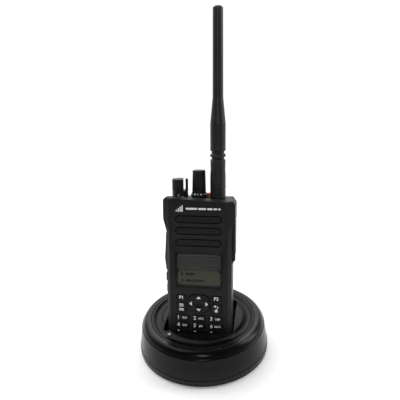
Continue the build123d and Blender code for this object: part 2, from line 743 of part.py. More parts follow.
# ---- Charger ----------------------------------------------------------------------------
def charger_base():
    """Round pan with foot recesses, screw bosses and board posts."""
    pan = post(BASE_R, BASE_LOW_Z, BASE_TOP_Z)
    pan = chamfer(pan.faces().sort_by(Axis.Z)[0].edges(), 0.8)
    pan -= post(BASE_R - CHARGER_WALL, FLOOR_TOP_Z, BASE_TOP_Z + 1)
    for place in ring_of(4, BOSS_RING_R, 45):
        pan += place * post(3.6, FLOOR_TOP_Z - 0.5, BASE_TOP_Z)
        pan -= place * post(1.7, 0, BASE_TOP_Z + 1)
        pan -= place * post(2.9, 0, 3.5)
    for place in ring_of(4, FOOT_RING_R):
        pan -= place * post(5.1, 0, 1.6)
    for x in (-16.0, 16.0):
        for y in (25.0, 36.0):
            pan += post(1.8, FLOOR_TOP_Z - 0.5, 4.0, x, y)
    return pan


def charger_feet():
    """Four rubber feet."""
    return Part() + [place * post(5.0, 0, 1.6) for place in ring_of(4, FOOT_RING_R)]


def charger_screws():
    """Four screws that hold the pan to the shell."""
    screws = []
    for place in ring_of(4, BOSS_RING_R, 45):
        screw = post(1.45, 3.3, 14.0) + post(2.6, 1.6, 3.4)
        screw -= block((-1.8, 1.8), (-0.35, 0.35), (1.0, 2.4))
        screw -= block((-0.35, 0.35), (-1.8, 1.8), (1.0, 2.4))
        screws.append(place * screw)
    return Part() + screws


def charger_shell():
    """Outer ring: sloping wall, crisp edge, crowned rim and the ledge under the well."""
    low = BASE_TOP_Z + SEAM
    wall = CHARGER_WALL
    outside = [
        Line((SHELL_R, low), (SHOULDER_R, SHOULDER_Z)),
        ThreePointArc((SHOULDER_R, SHOULDER_Z), (51.3, 23.65), (EDGE_R, EDGE_Z)),
        ThreePointArc((EDGE_R, EDGE_Z), (49.25, 27.05), (RIM_R, RIM_Z)),
        Line((RIM_R, RIM_Z), (WELL_R + 0.5, WELL_Z + 0.15)),
        Line((WELL_R + 0.5, WELL_Z + 0.15), (WELL_R + 0.5, WELL_Z - DISH_T)),
        Line((WELL_R + 0.5, WELL_Z - DISH_T), (LEDGE_R, WELL_Z - DISH_T)),
        Line((LEDGE_R, WELL_Z - DISH_T), (LEDGE_R, WELL_Z - DISH_T - 1.6)),
        Line((LEDGE_R, WELL_Z - DISH_T - 1.6), (RIM_R - 0.8, WELL_Z - DISH_T - 1.6)),
        Line((RIM_R - 0.8, WELL_Z - DISH_T - 1.6), (SHOULDER_R - wall, SHOULDER_Z - 1.6)),
        Line((SHOULDER_R - wall, SHOULDER_Z - 1.6), (SHELL_R - wall, low)),
        Line((SHELL_R - wall, low), (SHELL_R, low)),
    ]
    shell = revolve(Plane.XZ * make_face(outside), Axis.Z)
    for place in ring_of(4, BOSS_RING_R, 45):
        shell += place * post(2.8, low, WELL_Z - DISH_T - 1.0)
        shell -= place * post(1.45 + TOUCH, low - 1, 15.0)
    return shell - rod_along_y(4.6, 44, 60, 0, JACK_Z)


def dish_solid(low):
    """Everything from height low up to the dished top of the well."""
    outline = [
        Line((0, low), (WELL_R, low)),
        Line((WELL_R, low), (WELL_R, WELL_Z)),
        Line((WELL_R, WELL_Z), (BRIM_R, WELL_Z)),
        ThreePointArc((BRIM_R, WELL_Z), (39.6, 27.3), (TROUGH_R, TROUGH_Z)),
        ThreePointArc((TROUGH_R, TROUGH_Z), (35.1, 27.3), (COLLAR_R, COLLAR_Z)),
        Line((COLLAR_R, COLLAR_Z), (0, COLLAR_Z)),
        Line((0, COLLAR_Z), (0, low)),
    ]
    return revolve(Plane.XZ * make_face(outline), Axis.Z)


def pocket_column(back, low, grow, radius):
    """Leaning upright column the shape of the pocket, from height low, grown all round."""
    centre_y = (POCKET_FRONT + back) / 2
    width = 2 * (POCKET_HALF_W + grow)
    depth = back - POCKET_FRONT + 2 * grow
    outline = Pos(POCKET_X, centre_y) * RectangleRounded(width, depth, radius)
    return RADIO_PLACE * extrude(Plane.XY.offset(low) * outline, 70)


def charger_well():
    """Dished insert with the leaning pocket for the radio and the belt clip's room behind."""
    dish = dish_solid(SLEEVE_LOW_Z) - Pos(0, 0, -DISH_T) * dish_solid(-5)
    dish -= post(WELL_R + 1, 0, TROUGH_Z - DISH_T)
    sleeve = pocket_column(POCKET_BACK, POCKET_FLOOR - 1.6, SLEEVE_T, 5)
    sleeve += pocket_column(CLIP_BACK, CLIP_FLOOR - SLEEVE_T, SLEEVE_T, 5)
    well = dish + (sleeve & dish_solid(SLEEVE_LOW_Z))
    well -= pocket_column(POCKET_BACK, POCKET_FLOOR, 0, 3.2)
    well -= pocket_column(CLIP_BACK, CLIP_FLOOR, 0, 3.2)
    for x in CONTACT_X:
        well -= RADIO_PLACE * rod_along_y(PIN_R + 0.08, POCKET_BACK - 1, 42, x, CONTACT_Z)
    return well - post(LAMP_R + TOUCH, 21.5, 30, LAMP_X, LAMP_Y)


def charger_lamp():
    """Status lamp in the dish, in front of the pocket's left corner."""
    lamp = post(LAMP_R, 21.7, 28.3, LAMP_X, LAMP_Y)
    return fillet(lamp.faces().sort_by(Axis.Z)[-1].edges(), 0.5)


def charger_contact_block():
    """Block behind the pocket that guides the contact pins."""
    front = POCKET_BACK + SLEEVE_T + 0.1
    guide = block((-11.0, 11.0), (front, front + 4.5), (8.0, 16.4))
    for x in CONTACT_X:
        guide -= rod_along_y(PIN_R + RUNNING, front - 1, front + 6, x, CONTACT_Z)
    return guide


def charger_pins():
    """Three sprung pins that press on the battery's pads."""
    pins = []
    for x in CONTACT_X:
        pin = rod_along_y(PIN_R, BATTERY_BACK + 0.12, 42.2, x, CONTACT_Z)
        pins.append(fillet(pin.faces().sort_by(Axis.Y)[0].edges(), 0.5))
    return Part() + pins


def charger_board():
    """Charging circuit board behind the pocket, with its tallest components."""
    board = block((-20.0, 20.0), (21.0, 40.0), (4.0, 5.6))
    board += block((-15.0, -3.0), (24.0, 34.0), (5.6, 13.6))
    board += post(4.0, 5.6, 14.6, 6.0, 28.0)
    board += block((12.0, 18.0), (24.0, 36.0), (5.6, 9.6))
    return board


def charger_jack():
    """Power inlet: socket with its centre pin, facing back."""
    jack = block((-4.5, 4.5), (40.2, 50.0), (FLOOR_TOP_Z, JACK_Z + 4.4))
    jack -= rod_along_y(3.2, 41.5, 51, 0, JACK_Z)
    return jack + rod_along_y(1.0, 41.0, 48.8, 0, JACK_Z)


# ---- Writing the parts ------------------------------------------------------------------
CHARGER_PARTS = (
    charger_base, charger_feet, charger_screws, charger_shell, charger_well, charger_lamp,
    charger_board, charger_jack,
)
DOCKED_PARTS = (
    charger_contact_block, charger_pins, front_housing, chassis, housing_screws,
    speaker_grille, speaker, display_lens, display_module, microphone, main_board,
    key_nav, nav_pivot, keypad_membrane, ptt_button, side_button_upper, side_button_lower,
    volume_switch, channel_switch, volume_shaft, channel_shaft, volume_knob, channel_knob,
    emergency_button, led_lens, antenna_socket, antenna_core, antenna_sheath,
    accessory_connector, accessory_cover, accessory_screw, battery_case, battery_lid,
    battery_cells, battery_contacts, battery_latch,
)


def save(name, shape, place):
    """Writes one part where it stands in the assembly."""
    export_step(place * shape, os.path.join("parts", name + ".step"))


os.makedirs("parts", exist_ok=True)
for make in CHARGER_PARTS:
    save(make.__name__, make(), UPRIGHT)
for make in DOCKED_PARTS:
    save(make.__name__, make(), RADIO_PLACE)
for key_name, key_shape in key_shapes().items():
    save(key_name, key(*key_shape), RADIO_PLACE)
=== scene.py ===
import json
import math
import bpy
import bmesh
from mathutils import Matrix, Vector


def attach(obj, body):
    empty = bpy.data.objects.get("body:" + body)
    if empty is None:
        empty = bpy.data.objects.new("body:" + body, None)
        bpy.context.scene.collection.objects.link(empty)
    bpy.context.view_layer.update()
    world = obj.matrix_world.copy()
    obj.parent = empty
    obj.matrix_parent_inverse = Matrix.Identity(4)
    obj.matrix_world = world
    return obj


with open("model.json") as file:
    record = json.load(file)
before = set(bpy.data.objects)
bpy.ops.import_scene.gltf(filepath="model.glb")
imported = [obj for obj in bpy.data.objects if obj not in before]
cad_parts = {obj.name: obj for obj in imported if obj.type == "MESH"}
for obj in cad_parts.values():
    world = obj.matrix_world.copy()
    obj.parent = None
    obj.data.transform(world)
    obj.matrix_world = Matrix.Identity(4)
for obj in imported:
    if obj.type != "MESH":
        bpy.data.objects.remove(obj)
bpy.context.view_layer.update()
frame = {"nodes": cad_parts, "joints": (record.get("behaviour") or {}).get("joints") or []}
nodes = frame["nodes"]
MM = 0.001

# ---- The radio's own axes ---------------------------------------------------------------
# U runs right across the face, D into the body, V up the face. They come from the axis that
# the radio is lifted along, so every piece on it is placed by (u, d, v) and node sizes.
lift = next(joint for joint in frame["joints"] if joint["name"] == "radio_lift")
V = Vector(lift["axis"]).normalized()
U = Vector((1, 0, 0))
D = V.cross(U)
RADIO = Matrix((U, D, V)).transposed()


def at(u, d, v):
    """A point given in the radio's axes."""
    return RADIO @ Vector((u, d, v))


def radio_box(name):
    """Lowest and highest corner of a node, measured along the radio's axes."""
    points = [RADIO.transposed() @ vertex.co for vertex in nodes[name].data.vertices]
    low = Vector([min(point[i] for point in points) for i in range(3)])
    high = Vector([max(point[i] for point in points) for i in range(3)])
    return low, high


def middle(name):
    """Centre of a node in the radio's axes."""
    low, high = radio_box(name)
    return (low + high) / 2


# ---- Node-material building blocks ------------------------------------------------------
EDGE_FROM = -8.2
EDGE_TO = 7.8
BEVEL_SAMPLES = 6
MOULD_RADIUS = 0.25 * MM
TONE_SCALE = 90
GLOSS_SCALE = 260
SCUFF_SCALE = 60
INK_GRAIN_SCALE = 2600
PIXEL_ROW_SCALE = 1400


def new_material(name, base, rough, specular=0.5):
    """A principled material with its shader and output ready."""
    made = bpy.data.materials.new(name)
    made.use_nodes = True
    shader = made.node_tree.nodes["Principled BSDF"]
    shader.inputs["Base Color"].default_value = (*base, 1)
    shader.inputs["Roughness"].default_value = rough
    shader.inputs["Specular IOR Level"].default_value = specular
    return made, made.node_tree, shader


def noise(tree, scale, detail=4.0, distort=0.0, stretch=(1, 1, 1)):
    """A noise texture in the object's own metres; stretch draws it out along an axis."""
    coords = tree.nodes.new("ShaderNodeTexCoord")
    mapping = tree.nodes.new("ShaderNodeMapping")
    mapping.inputs["Scale"].default_value = stretch
    texture = tree.nodes.new("ShaderNodeTexNoise")
    texture.inputs["Scale"].default_value = scale
    texture.inputs["Detail"].default_value = detail
    texture.inputs["Distortion"].default_value = distort
    tree.links.new(coords.outputs["Object"], mapping.inputs["Vector"])
    tree.links.new(mapping.outputs["Vector"], texture.inputs["Vector"])
    return texture.outputs["Fac"]


def ramp(tree, factor, low, high, start=0.35, end=0.65):
    """Turns a 0 to 1 value into a blend of two colours."""
    node = tree.nodes.new("ShaderNodeValToRGB")
    node.color_ramp.elements[0].position = start
    node.color_ramp.elements[1].position = end
    node.color_ramp.elements[0].color = (*low, 1)
    node.color_ramp.elements[1].color = (*high, 1)
    tree.links.new(factor, node.inputs["Fac"])
    return node.outputs["Color"]


def remap(tree, factor, low, high):
    """Turns a 0 to 1 value into another range."""
    node = tree.nodes.new("ShaderNodeMapRange")
    node.inputs["To Min"].default_value = low
    node.inputs["To Max"].default_value = high
    tree.links.new(factor, node.inputs["Value"])
    return node.outputs["Result"]


def bump(tree, shader, height, strength, distance):
    """Gives the shader a bump; distance is in metres. Bumps stack in the order made."""
    node = tree.nodes.new("ShaderNodeBump")
    node.inputs["Strength"].default_value = strength
    node.inputs["Distance"].default_value = distance
    tree.links.new(height, node.inputs["Height"])
    if shader.inputs["Normal"].is_linked:
        earlier = shader.inputs["Normal"].links[0].from_socket
        tree.links.new(earlier, node.inputs["Normal"])
    tree.links.new(node.outputs["Normal"], shader.inputs["Normal"])


def worn_edges(tree, colour, light, amount):
    """Lightens convex edges, where handling polishes the plastic."""
    geometry = tree.nodes.new("ShaderNodeNewGeometry")
    edge = remap(tree, geometry.outputs["Pointiness"], EDGE_FROM * amount, EDGE_TO * amount)
    mix = tree.nodes.new("ShaderNodeMix")
    mix.data_type = "RGBA"
    mix.inputs["B"].default_value = (*light, 1)
    tree.links.new(edge, mix.inputs["Factor"])
    tree.links.new(colour, mix.inputs["A"])
    return mix.outputs["Result"]


def soft_edges(tree, shader, radius):
    """Rounds the look of sharp edges, as a mould does; radius is in metres."""
    node = tree.nodes.new("ShaderNodeBevel")
    node.samples = BEVEL_SAMPLES
    node.inputs["Radius"].default_value = radius
    tree.links.new(node.outputs["Normal"], shader.inputs["Normal"])


def moulded(name, base, rough, grain, specular=0.5, depth=0.03):
    """Moulded plastic or rubber: mottled colour, uneven gloss, fine grain, faint scuffs."""
    made, tree, shader = new_material(name, base, rough, specular)
    soft_edges(tree, shader, MOULD_RADIUS)
    tone = noise(tree, TONE_SCALE, 5)
    darker = tuple(channel * 0.8 for channel in base)
    lighter = tuple(channel * 1.25 for channel in base)
    colour = ramp(tree, tone, darker, lighter)
    colour = worn_edges(tree, colour, tuple(channel * 2.2 + 0.01 for channel in base), 0.5)
    tree.links.new(colour, shader.inputs["Base Color"])
    gloss = noise(tree, GLOSS_SCALE, 6, 0.4)
    tree.links.new(remap(tree, gloss, rough - 0.07, rough + 0.09), shader.inputs["Roughness"])
    bump(tree, shader, noise(tree, grain, 3), 0.5, depth * MM)
    bump(tree, shader, noise(tree, SCUFF_SCALE, 3, 1.5, (1, 14, 1)), 0.12, 0.04 * MM)
    return made


def metal(name, base, rough, stretch=(1, 1, 1), scale=900):
    """Machined or plated metal with fine marks drawn along one axis."""
    made, tree, shader = new_material(name, base, rough)
    shader.inputs["Metallic"].default_value = 1.0
    marks = noise(tree, scale, 6, 0.2, stretch)
    darker = tuple(channel * 0.78 for channel in base)
    tree.links.new(ramp(tree, marks, darker, base), shader.inputs["Base Color"])
    tree.links.new(remap(tree, marks, rough - 0.08, rough + 0.12), shader.inputs["Roughness"])
    bump(tree, shader, marks, 0.25, 0.02 * MM)
    return made


def printed(name, base):
    """White or coloured print: thin ink with a slightly uneven surface."""
    made, tree, shader = new_material(name, base, 0.45)
    grain = noise(tree, INK_GRAIN_SCALE, 3)
    darker = tuple(channel * 0.86 for channel in base)
    tree.links.new(ramp(tree, grain, darker, base), shader.inputs["Base Color"])
    bump(tree, shader, grain, 0.2, 0.01 * MM)
    return made


def clear_window():
    """Glossy clear plastic over the display, with faint smears in its gloss."""
    made, tree, shader = new_material("window_clear", (0.02, 0.022, 0.02), 0.05)
    shader.inputs["Alpha"].default_value = 0.22
    smear = noise(tree, 70, 5, 1.2)
    tree.links.new(remap(tree, smear, 0.03, 0.13), shader.inputs["Roughness"])
    tint = ramp(tree, noise(tree, 40, 2), (0.018, 0.02, 0.018), (0.026, 0.028, 0.025))
    tree.links.new(tint, shader.inputs["Base Color"])
    bump(tree, shader, noise(tree, 30, 2), 0.05, 0.02 * MM)
    return made


def lamp_plastic(name, base):
    """Frosted light-pipe plastic."""
    made, tree, shader = new_material(name, base, 0.25)
    shader.inputs["Transmission Weight"].default_value = 0.3
    cloud = noise(tree, 700, 4)
    darker = tuple(channel * 0.82 for channel in base)
    tree.links.new(ramp(tree, cloud, darker, base), shader.inputs["Base Color"])
    bump(tree, shader, cloud, 0.15, 0.02 * MM)
    return made


def display_ink(name, base):
    """A patch of the liquid-crystal panel, with its fine pixel rows."""
    made, tree, shader = new_material(name, base, 0.5, 0.2)
    coords = tree.nodes.new("ShaderNodeTexCoord")
    wave = tree.nodes.new("ShaderNodeTexWave")
    wave.bands_direction = "X"
    wave.inputs["Scale"].default_value = PIXEL_ROW_SCALE
    tree.links.new(coords.outputs["Object"], wave.inputs["Vector"])
    darker = tuple(channel * 0.88 for channel in base)
    tree.links.new(ramp(tree, wave.outputs["Fac"], darker, base), shader.inputs["Base Color"])
    bump(tree, shader, noise(tree, 900, 2), 0.05, 0.01 * MM)
    return made


def circuit_board():
    """Green solder mask with paler copper traces under it."""
    made, tree, shader = new_material("solder_mask", (0.02, 0.12, 0.05), 0.35)
    traces = noise(tree, 420, 2, 2.5, (1, 6, 1))
    colour = ramp(tree, traces, (0.015, 0.09, 0.04), (0.04, 0.2, 0.09), 0.48, 0.52)
    tree.links.new(colour, shader.inputs["Base Color"])
    bump(tree, shader, traces, 0.3, 0.03 * MM)
    return made


housing = moulded("housing_plastic", (0.0042, 0.0048, 0.0046), 0.42, 2600, 0.2, 0.02)
grille_skin = moulded("grille_plastic", (0.006, 0.0067, 0.0065), 0.46, 2100, 0.26)
key_skin = moulded("key_plastic", (0.0014, 0.0016, 0.0016), 0.28, 3600, 0.22, 0.006)
knob_skin = moulded("knob_rubber", (0.005, 0.0054, 0.0052), 0.36, 2400, 0.4)
whip_skin = moulded("antenna_rubber", (0.0075, 0.0082, 0.008), 0.42, 1900, 0.4)
battery_skin = moulded("battery_plastic", (0.006, 0.0065, 0.0063), 0.48, 2200, 0.28, 0.04)
shell_skin = moulded("charger_shell_plastic", (0.0026, 0.003, 0.0029), 0.2, 2300, 0.15, 0.003)
well_skin = moulded("charger_well_plastic", (0.0018, 0.0021, 0.002), 0.22, 2300, 0.1, 0.002)
base_skin = moulded("charger_base_plastic", (0.0026, 0.003, 0.0029), 0.28, 2300, 0.18, 0.01)
pad_rubber = moulded("foot_rubber", (0.03, 0.03, 0.031), 0.75, 1600, 0.3)
mat_rubber = moulded("mat_rubber", (0.16, 0.16, 0.165), 0.7, 1600, 0.3)
orange_skin = moulded("alert_orange", (0.62, 0.13, 0.03), 0.42, 2400, 0.5)
inlet_skin = moulded("inlet_plastic", (0.008, 0.008, 0.008), 0.5, 2400)
cell_skin = moulded("cell_wrap", (0.12, 0.2, 0.34), 0.35, 800)
white_ink = printed("white_print", (0.95, 0.96, 0.96))
steel = metal("bright_steel", (0.55, 0.55, 0.56), 0.3, (1, 1, 9))
dark_steel = metal("blackened_steel", (0.045, 0.045, 0.047), 0.42)
brass = metal("turned_brass", (0.7, 0.5, 0.22), 0.3, (1, 1, 9))
gold = metal("contact_gold", (0.9, 0.66, 0.28), 0.24)
cast = metal("cast_alloy", (0.42, 0.42, 0.43), 0.5, (1, 1, 1), 1500)
cone = moulded("speaker_cone", (0.02, 0.02, 0.02), 0.6, 900)
board = circuit_board()
window = clear_window()
lamp = lamp_plastic("lamp_frosted", (0.62, 0.64, 0.62))

FINISHES = {
    housing: ("front_housing", "accessory_cover", "battery_latch", "display_module"),
    grille_skin: ("speaker_grille",),
    knob_skin: ("volume_knob", "channel_knob", "ptt_button", "side_button_upper",
                "side_button_lower"),
    whip_skin: ("antenna_sheath",),
    battery_skin: ("battery_case", "battery_lid"),
    shell_skin: ("charger_shell",),
    well_skin: ("charger_well",),
    base_skin: ("charger_base", "charger_contact_block"),
    pad_rubber: ("charger_feet",),
    mat_rubber: ("keypad_membrane", "nav_pivot"),
    orange_skin: ("emergency_button",),
    inlet_skin: ("charger_jack", "accessory_connector"),
    cell_skin: ("battery_cells",),
    steel: ("charger_screws", "volume_shaft", "channel_shaft", "volume_switch",
            "channel_switch", "microphone"),
    dark_steel: ("accessory_screw", "housing_screws"),
    brass: ("antenna_core", "antenna_socket"),
    gold: ("battery_contacts", "charger_pins"),
    cast: ("chassis",),
    cone: ("speaker",),
    board: ("charger_board", "main_board"),
    window: ("display_lens",),
    lamp: ("led_lens", "charger_lamp"),
}


def finish_nodes():
    """Gives every CAD node its material."""
    for made, names in FINISHES.items():
        for name in names:
            dress(nodes[name], made)
    for name, node in nodes.items():
        if name.startswith("key_"):
            dress(node, key_skin)


def dress(node, made):
    """One material over a whole object."""
    node.data.materials.clear()
    node.data.materials.append(made)


# ---- Pieces -----------------------------------------------------------------------------
def add(name, mesh, made, body):
    """Puts a finished mesh into the scene as a piece of the object."""
    piece = bpy.data.objects.new(name, mesh)
    bpy.context.scene.collection.objects.link(piece)
    dress(piece, made)
    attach(piece, body)
    return piece


def text_mesh(words, height, bold):
    """Flat letters of this height in metres, centred, facing +Z."""
    curve = bpy.data.curves.new("letters", "FONT")
    curve.body = words
    curve.size = height / 0.69
    curve.align_x = "CENTER"
    curve.align_y = "CENTER"
    curve.extrude = 0.012 * MM
    curve.offset = bold
    holder = bpy.data.objects.new("letters", curve)
    bpy.context.scene.collection.objects.link(holder)
    mesh = bpy.data.meshes.new_from_object(holder)
    bpy.data.objects.remove(holder)
    return mesh


def tile(points, thick=0.024 * MM):
    """A thin plate with this outline, lying in X and Y."""
    mesh = bpy.data.meshes.new("tile")
    made = bmesh.new()
    corners = [made.verts.new((x, y, -thick / 2)) for x, y in points]
    face = made.faces.new(corners)
    raised = bmesh.ops.extrude_face_region(made, geom=[face])["geom"]
    lifted = [item for item in raised if isinstance(item, bmesh.types.BMVert)]
    bmesh.ops.translate(made, verts=lifted, vec=(0, 0, thick))
    bmesh.ops.recalc_face_normals(made, faces=made.faces)
    made.to_mesh(mesh)
    made.free()
    return mesh


def rounded(width, height, radius, steps=5):
    """Outline of a rounded rectangle about the origin."""
    points = []
    for index in range(4):
        turn = math.pi / 2 * index
        cx = (width / 2 - radius) * (1 if index in (0, 3) else -1)
        cy = (height / 2 - radius) * (1 if index in (0, 1) else -1)
        for step in range(steps + 1):
            angle = turn + math.pi / 2 * step / steps
            points.append((cx + radius * math.cos(angle), cy + radius * math.sin(angle)))
    return points


def arc_band(inner, outer, start, end, steps=14):
    """Outline of part of a ring, angles in degrees."""
    angles = [math.radians(start + (end - start) * i / steps) for i in range(steps + 1)]
    out = [(outer * math.cos(a), outer * math.sin(a)) for a in angles]
    back = [(inner * math.cos(a), inner * math.sin(a)) for a in reversed(angles)]
    return out + back


def moved(mesh, x, y):
    """The mesh shifted in its own plane."""
    mesh.transform(Matrix.Translation((x, y, 0)))
    return mesh


def joined(meshes):
    """Several meshes as one."""
    made = bmesh.new()
    for mesh in meshes:
        made.from_mesh(mesh)
    whole = bpy.data.meshes.new("joined")
    made.to_mesh(whole)
    made.free()
    return whole


def on_face(mesh, u, d, v):
    """Stands a flat mesh against the radio's face: X to U, Y to V, front to -D."""
    turn = Matrix((U, V, -D)).transposed().to_4x4()
    mesh.transform(Matrix.Translation(at(u, d, v)) @ turn)
    return mesh


# ---- Key legends ------------------------------------------------------------------------
LETTERS = {"2": "ABC", "3": "DEF", "4": "GHI", "5": "JKL", "6": "MNO", "7": "PQRS",
           "8": "TUV", "9": "WXYZ"}
SIGNS = {"star": "*", "hash": "#"}
PRINT_LIFT = 0.014 * MM
DIGIT_TALL = 3.0 * MM
LETTER_TALL = 1.5 * MM
BOLD = 0.12 * MM
DIGIT_U = -3.3 * MM
LETTERS_U = 1.7 * MM
DIALLED = set("0123456789") | {"star", "hash"}
ARROW_INSET = 2.7 * MM
RING_RADIUS = 4.1 * MM
RING_WIDTH = 0.5 * MM
RING_HEIGHT = 0.28 * MM
RING_SINK = 0.3 * MM


def key_legend(key):
    """Digit at the left of the key and its letter group at the right."""
    name = key.removeprefix("key_")
    low, high = radio_box(key)
    centre = (low + high) / 2
    sign = SIGNS.get(name, name)
    parts = [moved(text_mesh(sign, DIGIT_TALL, BOLD), DIGIT_U, 0)]
    if name in LETTERS:
        letters = text_mesh(LETTERS[name], LETTER_TALL, BOLD * 0.8)
        parts.append(moved(letters, LETTERS_U, -0.2 * MM))
    elif name == "1":
        for x in (0.7, 2.9):
            parts.append(moved(tile(arc_band(0.5 * MM, 0.85 * MM, 0, 360)), x * MM, 0.1 * MM))
        parts.append(moved(tile(rounded(2.6 * MM, 0.35 * MM, 0.15 * MM)), 1.8 * MM, -0.7 * MM))
    elif name == "0":
        parts.append(moved(tile(rounded(2.6 * MM, 0.4 * MM, 0.18 * MM)), LETTERS_U, -0.7 * MM))
    else:
        triangle = [(-0.9 * MM, -0.6 * MM), (0.9 * MM, -0.6 * MM), (0, 0.8 * MM)]
        parts.append(moved(tile(triangle), LETTERS_U, 0))
    mesh = on_face(joined(parts), centre.x, low.y - PRINT_LIFT, centre.z)
    add("legend_" + name, mesh, white_ink, key + "_cap")


def dial_legends():
    """The legends of the twelve dialling keys."""
    for key in nodes:
        if key.removeprefix("key_") in DIALLED:
            key_legend(key)


def icon_legend(key, parts):
    """Joined shapes printed in the middle of a key."""
    low, high = radio_box(key)
    centre = (low + high) / 2
    mesh = on_face(joined(parts), centre.x, low.y - PRINT_LIFT, centre.z)
    add("legend_" + key.removeprefix("key_"), mesh, white_ink, key + "_cap")


def side_legends():
    """P1, P2, the menu sheet with OK, and the return arrow over a house."""
    icon_legend("key_p1", [text_mesh("P1", 2.5 * MM, BOLD)])
    icon_legend("key_p2", [text_mesh("P2", 2.5 * MM, BOLD)])
    menu = [moved(tile(rounded(3.4 * MM, 0.55 * MM, 0.2 * MM)), 0, y * MM)
            for y in (2.75, 1.85, 0.95)]
    menu.append(moved(text_mesh("OK", 1.9 * MM, BOLD), 0, -1.9 * MM))
    icon_legend("key_menu", menu)
    head = [(-2.0 * MM, 0), (-0.4 * MM, 1.25 * MM), (-0.4 * MM, -1.25 * MM)]
    hook = tile(arc_band(0.75 * MM, 1.3 * MM, -90, 90))
    roof = [(-1.7 * MM, 0), (1.7 * MM, 0), (0, 1.4 * MM)]
    home = [moved(tile(head), 0, 2.0 * MM), moved(hook, 0.3 * MM, 1.0 * MM),
            moved(tile(roof), 0, -1.7 * MM),
            moved(tile(rounded(2.2 * MM, 1.2 * MM, 0.15 * MM)), 0, -2.3 * MM)]
    icon_legend("key_back", home)


def nav_marks():
    """Four arrow prints and the raised ring round the pad's dished middle."""
    low, high = radio_box("key_nav")
    centre = (low + high) / 2
    spread_u = (high.x - low.x) / 2 - ARROW_INSET
    spread_v = (high.z - low.z) / 2 - ARROW_INSET
    arrow = [(-1.75 * MM, -0.9 * MM), (1.75 * MM, -0.9 * MM), (0.3 * MM, 1.05 * MM),
             (-0.3 * MM, 1.05 * MM)]
    parts = []
    for turn, x, y in ((0, 0, spread_v), (90, -spread_u, 0), (180, 0, -spread_v),
                       (270, spread_u, 0)):
        mark = tile(arrow)
        mark.transform(Matrix.Rotation(math.radians(turn), 4, "Z"))
        parts.append(moved(mark, x, y))
    mesh = on_face(joined(parts), centre.x, low.y - PRINT_LIFT, centre.z)
    add("nav_arrows", mesh, white_ink, "nav_pad")
    ring = turned_ring(RING_RADIUS, RING_WIDTH, RING_HEIGHT)
    ring = on_face(ring, centre.x, low.y + RING_SINK, centre.z)
    add("nav_ring", ring, grille_skin, "nav_pad")


def turned_ring(radius, width, height, steps=48):
    """A low ring with a crowned top, lying in X and Y and standing up along Z."""
    profile = [(-width / 2, -height), (-width / 2, height * 0.5), (-width / 4, height * 0.9),
               (0, height), (width / 4, height * 0.9), (width / 2, height * 0.5),
               (width / 2, -height)]
    made = bmesh.new()
    rows = []
    for step in range(steps):
        angle = 2 * math.pi * step / steps
        along = Vector((math.cos(angle), math.sin(angle), 0))
        rows.append([made.verts.new(along * (radius + r) + Vector((0, 0, z)))
                     for r, z in profile])
    for index, row in enumerate(rows):
        after = rows[(index + 1) % steps]
        for i in range(len(profile)):
            j = (i + 1) % len(profile)
            made.faces.new((row[i], after[i], after[j], row[j]))
    bmesh.ops.recalc_face_normals(made, faces=made.faces)
    mesh = bpy.data.meshes.new("ring")
    made.to_mesh(mesh)
    made.free()
    for polygon in mesh.polygons:
        polygon.use_smooth = True
    return mesh


# ---- Display ----------------------------------------------------------------------------
lcd_low = display_ink("lcd_lower", (0.15, 0.145, 0.1))
lcd_high = display_ink("lcd_upper", (0.1, 0.108, 0.1))
lcd_pale = display_ink("lcd_pale", (0.16, 0.165, 0.15))
lcd_dark = display_ink("lcd_dark", (0.01, 0.009, 0.006))


def picture_part(name, made, outlines, raise_by):
    """Flat shapes of one tone on the display, by (outline, u, v) about its middle."""
    low, high = radio_box("display_module")
    centre = (low + high) / 2
    meshes = [moved(tile(outline), u * MM, v * MM) for outline, u, v in outlines]
    mesh = on_face(joined(meshes), centre.x, low.y - raise_by * MM, centre.z)
    add(name, mesh, made, "radio")


def bar(width, height):
    """Outline of a small bar in millimetres."""
    return rounded(width * MM, height * MM, min(width, height) * 0.2 * MM, 2)


def word_bars(start, level, lengths, height):
    """A row of unreadable word-like blocks."""
    row = []
    left = start
    for length in lengths:
        row.append((bar(length, height), left + length / 2, level))
        left += length + 0.35
    return row


def display_picture():
    """Panel in two tones, pale rules in the upper part, two rows of blurred entries."""
    picture_part("display_lower", lcd_low, [(bar(34.0, 12.2), 0, -6.9)], 0.1)
    picture_part("display_upper", lcd_high, [(bar(35.0, 13.7), 0, 6.1)], 0.1)
    pale = [(bar(33.6, 0.9), 0, 11.8), (bar(33.0, 0.5), 0, 9.2), (bar(30.0, 0.4), 1.0, 7.0),
            (bar(26.0, 0.5), 2.0, 4.4), (bar(1.8, 1.6), -13.6, 2.2), (bar(8.0, 0.9), -4.0, 2.0)]
    picture_part("display_rules", lcd_pale, pale, 0.14)
    entries = word_bars(-10.4, -3.7, (1.7, 1.1, 1.5, 1.2), 2.0)
    entries += word_bars(-10.4, -9.0, (2.2, 1.2, 0.9, 1.5, 1.8, 1.1, 1.6, 1.2), 2.0)
    entries += [(arc_band(0.4 * MM, 1.15 * MM, 20, 320, 10), -13.6, -3.7),
                (arc_band(0.4 * MM, 1.15 * MM, -160, 120, 10), -13.6, -9.0)]
    picture_part("display_entries", lcd_dark, entries, 0.14)


# ---- Marks on the housing and knobs -----------------------------------------------------
MARK_OVER_GRILLE = 3.6 * MM
SIGNAL_BARS = 4
SIGNAL_LEFT = -17.0
SIGNAL_PITCH = 1.5
DASHES = (9.0, 6.2, 4.2, 2.8, 1.8)
DASH_LEFT = -9.8
DASH_GAP = 0.8
CHANNELS = 16
SKIRT_SLOPE = -19
SKIRT_INSET = 0.42 * MM
SKIRT_LEVEL = 2.0 * MM
POINTER_LEVEL = 2.2 * MM
PAD_PITCH = 3.0
PAD_ROW = 2.1
PADS_IN_ROW = 6


